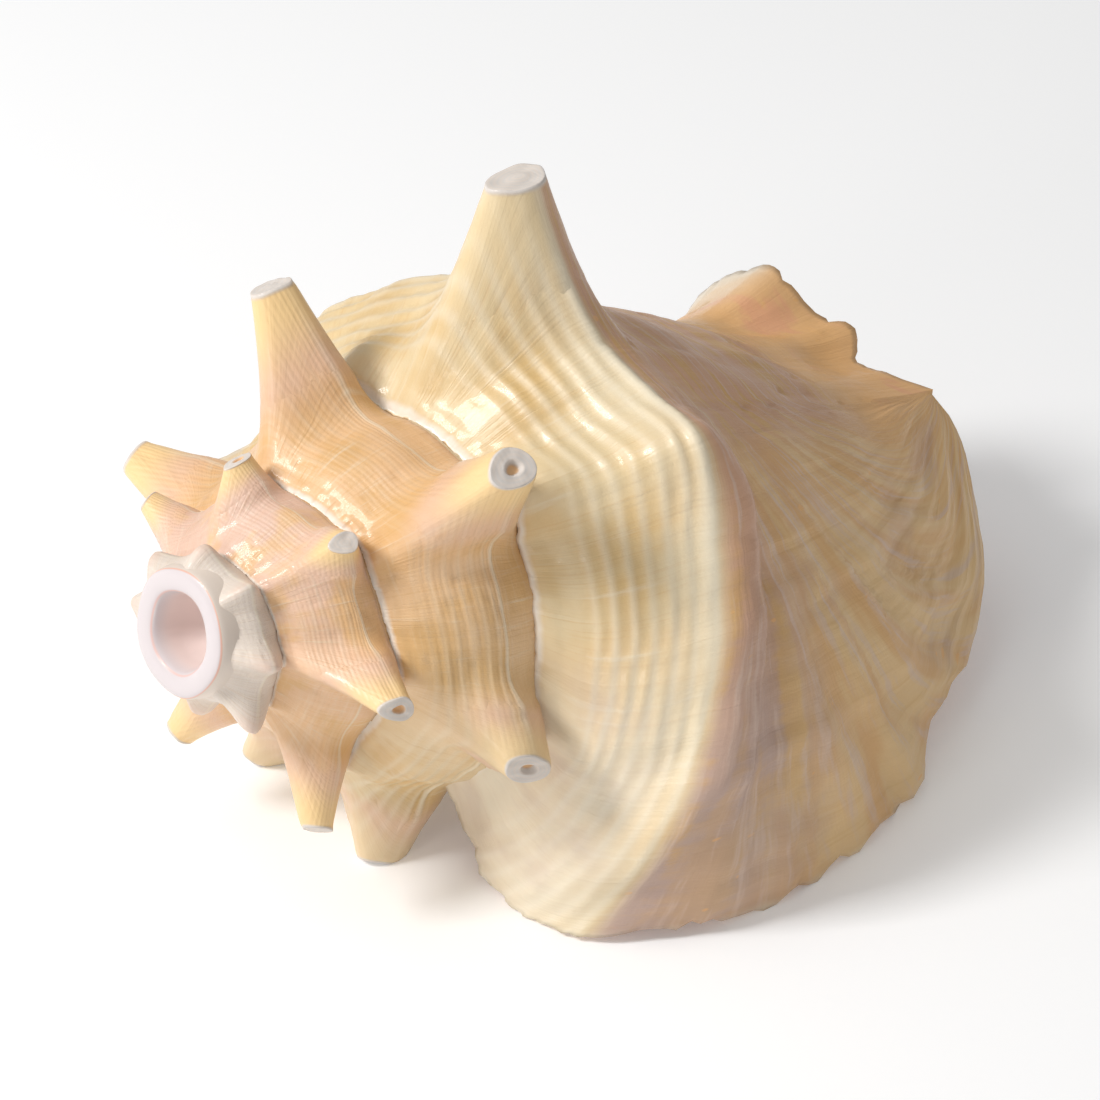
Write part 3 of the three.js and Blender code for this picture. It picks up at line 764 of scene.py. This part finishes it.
class Value:
    """A socket that can be written into arithmetic; every operator adds one Math node."""

    def __init__(self, maker, socket):
        self.maker, self.socket = maker, socket

    def math(self, operation, *others, clamp=False):
        """The node of one operation on this value and any others."""
        inputs = {"in%d" % number: value for number, value in enumerate((self,) + others)}
        made = self.maker.node("ShaderNodeMath", {"operation": operation, "use_clamp": clamp}, **inputs)
        return Value(self.maker, made.outputs[0])

    def reflected(self, operation, other):
        """The same with a constant in front."""
        made = self.maker.node("ShaderNodeMath", {"operation": operation}, in0=other, in1=self)
        return Value(self.maker, made.outputs[0])

    def __add__(self, other):
        return self.math("ADD", other)

    def __radd__(self, other):
        return self.reflected("ADD", other)

    def __sub__(self, other):
        return self.math("SUBTRACT", other)

    def __rsub__(self, other):
        return self.reflected("SUBTRACT", other)

    def __mul__(self, other):
        return self.math("MULTIPLY", other)

    def __rmul__(self, other):
        return self.reflected("MULTIPLY", other)

    def __truediv__(self, other):
        return self.math("DIVIDE", other)

    def __rtruediv__(self, other):
        return self.reflected("DIVIDE", other)

    def __pow__(self, other):
        return self.math("POWER", other)

    def sin(self):
        """Sine of the value in radians."""
        return self.math("SINE")

    def turns(self):
        """Cosine of that many full turns."""
        return (self * math.tau).math("COSINE")

    def clamp(self):
        """The value kept between 0 and 1."""
        return self.math("ADD", 0.0, clamp=True)

    def rise(self, low, high):
        """0 below low, 1 above high, smooth between."""
        made = self.maker.node("ShaderNodeMapRange", {"interpolation_type": "SMOOTHSTEP", "clamp": True},
                               Value=self, From_Min=low, From_Max=high, To_Min=0.0, To_Max=1.0)
        return Value(self.maker, made.outputs[0])


def tone(red, green, blue):
    """A colour given as display values 0..255, as the linear colour a shader takes."""
    def linear(c):
        c /= 255
        return c / 12.92 if c <= 0.04045 else ((c + 0.055) / 1.055) ** 2.4
    return (linear(red), linear(green), linear(blue), 1.0)


# the last whorl
CREAM = tone(226, 204, 162)
STRAW = tone(218, 184, 126)
PALE = tone(238, 228, 206)
GOLD = tone(246, 212, 148)
ICE = tone(234, 226, 210)
# the older whorls
PEACH = tone(232, 188, 140)
TAN = tone(222, 176, 118)
ROSE = tone(228, 190, 168)
MILK = tone(224, 210, 197)
# the wall and the lip
RUSSET = tone(206, 158, 126)
MAUVE = tone(184, 156, 144)
LILAC = tone(216, 190, 174)
OCHRE = tone(208, 162, 100)
BUFF = tone(230, 194, 140)
# the canal and the inside
ORANGE = tone(238, 180, 108)
PINK = tone(226, 164, 150)
SALMON = tone(232, 158, 130)
# the apex
GLASSY = tone(202, 196, 208)
BLUSH = tone(230, 212, 206)
# seams and cut tops, and a brown that is painted shade in the seams' grooves
SNOW = tone(244, 236, 224)
SEAM_SHADE = tone(150, 96, 54)
CHALK = tone(212, 205, 198)


class Marks:
    """What the finish reads at each point: where it is on the shell, noises laid along the growth, and the
    zones that several colours share."""

    def __init__(self, m):
        for name in Skin.NAMES:
            setattr(self, name, m.attribute(name))
        run, place, out = self.run, self.place, self.out
        self.fan = (place - FAN_FOOT) / (out * FAN_GROWTH + FAN_START)

        # streaks and lines lie across the growth, threads run with it, clouds and patches are as long as wide
        self.streaks = m.noise(run * 0.42, place * 5.0, detail=4.0, roughness=0.6)
        self.lines = m.noise(run * 1.5, place * 4.0, 7.0, detail=2.0, roughness=0.6)
        self.clouds = m.noise(run * 0.045, place * 6.0, 3.0, roughness=0.55)
        self.patches = m.noise(run * 0.035, place * 17.0, 5.0, detail=4.0, roughness=0.6)
        self.threads = m.noise(run * 0.05, place * 95.0, 9.0, roughness=0.6)
        self.grain = m.noise(run * 0.9, place * 110.0, 11.0, roughness=0.6)
        # these two follow the fan of the lip
        self.fine = m.noise(run * 0.04, self.fan * 26.0, 2.0, roughness=0.6)
        self.folds = m.noise(run * 0.03, self.fan * 11.0, 4.0, detail=2.0)

        self.wander = (run / 17.0).sin() * 0.16 + (run / 5.3 + place * 9.0).sin() * 0.05
        self.on_ramp = place.rise(0.045, 0.10) * (1.0 - place.rise(SHOULDER, 0.27))
        self.last = run.rise(-330.0, -190.0)
        self.oldest = 1.0 - run.rise(-905.0, -872.0)
        wall = (place + self.spine * 0.018).rise(0.236, 0.262) * (1.0 - place.rise(0.70, 0.90))
        self.below = wall * run.rise(-170.0, -60.0)
        self.mauve = m.mix(out.rise(0.15, 0.80), RUSSET, MAUVE)
        self.cut = self.spine.rise(0.955, 0.99)


def whorl_colour(m, k):
    """Ground colours from the oldest whorl to the last one, with growth lines and the ramp's pale cords."""
    ground = m.mix(k.clouds.rise(0.38, 0.66), CREAM, STRAW)
    middle = m.mix(k.clouds.rise(0.40, 0.62), PEACH, TAN)
    old = m.mix(k.clouds.rise(0.42, 0.60), ROSE, PEACH)
    colour = m.mix(k.last, middle, ground)
    colour = m.mix(1.0 - k.run.rise(-720.0, -560.0), colour, old)
    colour = m.mix(k.oldest, colour, MILK)
    colour = m.mix(k.lines.rise(0.50, 0.72) * 0.22, colour, OCHRE)
    colour = m.mix(k.streaks.rise(0.56, 0.74) * 0.34, colour, PALE)
    cords = ((k.place / CORD_PITCH + k.wander).turns() * 0.5 + 0.5) ** 1.8
    colour = m.mix(cords * k.on_ramp * (k.last * 0.30 + 0.10) * (k.clouds + 0.35), colour, PALE)
    return m.mix(k.threads.rise(0.50, 0.70) * 0.12 * (1.0 - k.last), colour, PALE)


def wall_colour(m, k, colour):
    """The wall below the shoulder: mauve bloom with ochre patches and fine pale threads."""
    bloom = m.mix((k.folds * 0.6 + k.streaks * 0.2 + k.patches * 0.2).rise(0.47, 0.60), k.mauve, OCHRE)
    bloom = m.mix(k.fine.rise(0.52, 0.68) * 0.60, bloom, LILAC)
    return m.mix(k.below * 0.92, colour, bloom)


def lip_colour(m, k, colour):
    """The lip: buff and tan along its folds, with mauve clouds, ochre streaks and pale threads; icy and
    smoky where the ramp runs out into its lower edge; orange and salmon towards the canal."""
    lip = m.mix(k.folds.rise(0.40, 0.60), TAN, BUFF)
    lip = m.mix(k.clouds.rise(0.50, 0.68) * 0.45, lip, k.mauve)
    lip = m.mix(k.streaks.rise(0.54, 0.70) * 0.25, lip, OCHRE)
    lip = m.mix(k.fine.rise(0.50, 0.68) * 0.60, lip, LILAC)
    spread = (k.fan + k.out * 0.30 + k.clouds * 0.5).rise(0.62, 0.98)
    colour = m.mix(spread * k.out.rise(0.02, 0.2) * k.place.rise(0.26, 0.34), colour, lip)
    smoky = m.noise(k.run * 0.10, k.place * 9.0, 17.0, roughness=0.55)
    lower_edge = (k.out + k.clouds * 0.4).rise(0.50, 0.90) * (1.0 - k.place.rise(0.16, 0.25))
    colour = m.mix(lower_edge * 0.55, colour, ICE)
    colour = m.mix(lower_edge * smoky.rise(0.40, 0.72) * 0.30, colour, MAUVE)
    canal = k.place.rise(0.66, 0.86) * (1.0 - k.out.rise(0.02, 0.5))
    colour = m.mix(canal, colour, m.mix(k.clouds, ORANGE, PEACH))
    salmon = (k.patches * 0.5 + k.clouds * 0.5).rise(0.52, 0.62) * k.place.rise(0.74, 0.90)
    return m.mix(salmon * (1.0 - k.out.rise(0.0, 0.2)) * 0.45, colour, SALMON)


def shoulder_colour(m, k, colour):
    """A mauve belt under the lip's shoulder, a pale crest and keel that are partly painted highlight along
    the lit side of the shoulder and partly its own paler tone, and a few orange spots below.
    """
    belt = (k.place + k.clouds * 0.04 - k.out * 0.02).rise(0.262, 0.295)
    belt = belt * (1.0 - (k.place - k.out * 0.10 + k.clouds * 0.24).rise(0.36, 0.48))
    threaded = m.mix(k.fine.rise(0.50, 0.66) * 0.6, k.mauve, LILAC)
    colour = m.mix(belt * k.run.rise(10.0, 60.0) * 0.55, colour, threaded)
    # partly painted highlight: a pale band on the crest's side that faces the lamps, over the shoulder's own
    # paler tone
    crest = k.place.rise(0.150, 0.215) * (1.0 - k.place.rise(0.236, 0.245)) * k.run.rise(-60.0, 20.0)
    colour = m.mix(crest * 0.28, colour, PALE)
    spots = m.noise(k.run * 0.30, k.place * 34.0, 15.0, detail=1.0, roughness=0.4).rise(0.745, 0.78)
    colour = m.mix(spots * k.run.rise(-60.0, 0.0) * k.place.rise(0.24, 0.26) * 0.55, colour, ORANGE)
    # partly painted highlight: a pale line along the keel's sharp edge
    keel = k.place.rise(0.219, 0.233) * (1.0 - k.place.rise(0.237, 0.250)) * (1.0 - k.out.rise(0.3, 0.8))
    return m.mix(keel * 0.42, colour, PALE)


def rim_colour(m, k, colour):
    """The rim of the lip and the canal's edge are pale."""
    colour = m.mix(k.out.rise(0.965, 1.0) * 0.5, colour, PALE)
    colour = m.mix(k.place.rise(0.84, 0.96) * (1.0 - k.run.rise(-36.0, -22.0)) * 0.55, colour, PALE)
    return m.mix(k.place.rise(0.955, 0.985) * (1.0 - k.run.rise(-34.0, -26.0)) * 0.6, colour, ICE)


def spine_colour(m, k, colour):
    """Spines: blush on the flank, straw towards the tip, chalky rings where cut, and peach in the bore."""
    flank = k.spine.rise(0.10, 0.40) * (1.0 - k.run.rise(-150.0, -60.0))
    colour = m.mix(flank * k.clouds.rise(0.36, 0.52) * 0.60, colour, ROSE)
    tip = k.spine.rise(0.35, 0.85) * 0.75 * (1.0 - k.below * 0.8)
    colour = m.mix(tip, colour, m.mix(k.last, GOLD, CREAM))
    rings = (k.away * 1.1 + k.clouds * 2.0).turns() * 0.5 + 0.5
    chalky = m.mix(rings * 0.45 + k.streaks.rise(0.4, 0.6) * 0.3, CHALK, MILK)
    colour = m.mix(k.cut, colour, chalky)
    return m.mix((1.0 - k.away.rise(0.75, 1.30)) * k.bore * k.cut, colour, PEACH)


def seam_colour(m, k, colour):
    """Seams: a snowy young edge, with painted shade in brown in the crevice under it and in the groove
    behind.
    """
    # painted shade: a brown line on the older whorl's wall where the young edge laps over it
    colour = m.mix(k.place.rise(0.316, 0.338) * (1.0 - k.run.rise(-328.0, -326.0)) * 0.45, colour, SEAM_SHADE)
    edge = (1.0 - k.place.rise(0.008, 0.016)) * k.place.rise(0.001, 0.003)
    colour = m.mix(edge * 0.9, colour, SNOW)
    # painted shade: brown in the groove along the shared seam row
    return m.mix((1.0 - k.place.rise(0.0003, 0.0016)) * 0.8, colour, SEAM_SHADE)


def apex_colour(m, k, colour):
    """The ground-off apex, outline inward: milky side, thin salmon line, glassy ring, salmon line, bowl."""
    colour = m.mix(k.apex.rise(0.01, 0.03), colour, MILK)
    colour = m.mix(k.apex.rise(0.225, 0.240) * 0.6, colour, SALMON)
    colour = m.mix(k.apex.rise(0.250, 0.270), colour, m.mix(k.clouds, GLASSY, MILK))
    line = k.apex.rise(0.52, 0.54) * (1.0 - k.apex.rise(0.545, 0.57))
    colour = m.mix(line * 0.4, colour, SALMON)
    return m.mix(k.apex.rise(0.58, 0.70), colour, BLUSH)


def shell_finish():
    """Glossy porcelain-like shell: its colours zone by zone, fine growth lines as bump, and a thin clear coat
    that is duller on the cut tops and on the wall."""
    m = Maker("shell_glaze")
    k = Marks(m)
    colour = whorl_colour(m, k)
    for zone in (wall_colour, lip_colour, shoulder_colour, rim_colour, spine_colour, seam_colour):
        colour = zone(m, k, colour)
    colour = m.mix(k.inner, colour, m.mix(k.clouds, PINK, PEACH))
    colour = apex_colour(m, k, colour)

    cords = (k.place / (CORD_PITCH * 0.42) + k.wander * 2.0).turns() * (1.0 - k.last) * k.on_ramp
    height = k.streaks * 0.55 + k.lines * 0.35 + k.threads * 0.20 * (1.0 - k.last)
    height = height + k.fine * 0.85 * k.below + cords * (1.0 - k.oldest) * 0.06
    height = (height + k.grain * 0.22) * (1.0 - k.cut * 0.75)
    bump = m.node("ShaderNodeBump", Strength=0.5, Distance=0.0007, Height=height)

    rough = (k.streaks * 0.30 + k.grain * 0.20 + 0.17 + k.cut * 0.40 + k.below * 0.12).clamp()
    shader = m.node("ShaderNodeBsdfPrincipled", Base_Color=colour, Roughness=rough, IOR=1.52,
                    Coat_Weight=0.18, Coat_Roughness=0.09, Normal=Value(m, bump.outputs[0]))
    return m.finish(shader)


shell = build_shell()
shell.data.materials.append(shell_finish())
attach(shell, "root")
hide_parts("conch_shell")


# ---------------------------------------------------------------------------------------------------
# Floor, light and camera, in metres and watts
# ---------------------------------------------------------------------------------------------------
FLOOR_REACH = 6.0
AIM_HEIGHT = 0.05         # the lights look at this height over the floor
# azimuth, elevation, distance, side of the square, power
LIGHTS = {
    "key": (-112, 44, 1.3, 0.34, 11.6),
    "low": (-80, 20, 1.3, 0.25, 1.3),
    "top": (-125, 68, 1.4, 0.9, 2.5)}
DAYLIGHT = 0.36
CAMERA_AZIMUTH = -41.19
CAMERA_ELEVATION = 36.0
CAMERA_RANGE = 1000.0     # millimetres
FIELD = 220.0             # width seen at that range
CAMERA_RIGHT = 94.2       # the point looked at, from the start of the coiling axis
CAMERA_UP = 21.8
SENSOR = 36.0


def plain_floor():
    """A wide flat square of matt white at the height the shell rests on."""
    r = FLOOR_REACH
    mesh = bpy.data.meshes.new("floor")
    mesh.from_pydata([(-r, -r, 0), (r, -r, 0), (r, r, 0), (-r, r, 0)], [], [(0, 1, 2, 3)])
    floor = bpy.data.objects.new("floor", mesh)
    bpy.context.collection.objects.link(floor)
    m = Maker("white_floor")
    shader = m.node("ShaderNodeBsdfPrincipled", Base_Color=(0.93, 0.93, 0.93, 1), Roughness=0.9,
                    Emission_Color=(1, 1, 1, 1), Emission_Strength=0.13)
    mesh.materials.append(m.finish(shader))


def look_from(azimuth, elevation):
    """Unit vectors to the right, upward and back for something that looks from that direction."""
    a, e = math.radians(azimuth), math.radians(elevation)
    back = np.array([math.sin(a) * math.cos(e), -math.cos(a) * math.cos(e), math.sin(e)])
    right = np.array([math.cos(a), math.sin(a), 0])
    return right, np.cross(back, right), back


def place_facing(name, data, at, axes):
    """Put a light or a camera at a point, turned along its three axes."""
    made = bpy.data.objects.new(name, data)
    made.location = at
    made.rotation_euler = Matrix(np.stack(axes, axis=1).tolist()).to_euler()
    bpy.context.collection.objects.link(made)
    return made


def soft_light(name, azimuth, elevation, distance, size, power):
    """Square area light looking at the shell's middle from that direction."""
    light = bpy.data.lights.new(name, "AREA")
    light.shape, light.size, light.energy = "SQUARE", size, power
    axes = look_from(azimuth, elevation)
    place_facing(name, light, axes[2] * distance + np.array([0, 0, AIM_HEIGHT]), axes)


def daylight():
    """Even white light from all round."""
    world = bpy.data.worlds.new("studio")
    bpy.context.scene.world = world
    world.use_nodes = True
    background = world.node_tree.nodes["Background"]
    background.inputs["Color"].default_value = (1, 1, 1, 1)
    background.inputs["Strength"].default_value = DAYLIGHT


def place_camera():
    """Camera looking square at a point to the right of and above the coiling centre."""
    right, up, back = look_from(CAMERA_AZIMUTH, CAMERA_ELEVATION)
    centre = stand(np.zeros(1), 0.0, 0.0)[0]
    data = bpy.data.cameras.new("camera")
    data.sensor_width = SENSOR
    data.lens = SENSOR * CAMERA_RANGE / FIELD
    data.clip_end = 50
    at = (centre + CAMERA_RIGHT * right + CAMERA_UP * up + CAMERA_RANGE * back) * 0.001
    bpy.context.scene.camera = place_facing("camera", data, at, (right, up, back))


plain_floor()
for light_name, setting in LIGHTS.items():
    soft_light(light_name, *setting)
daylight()
place_camera()
bpy.context.scene.view_settings.view_transform = "Standard"
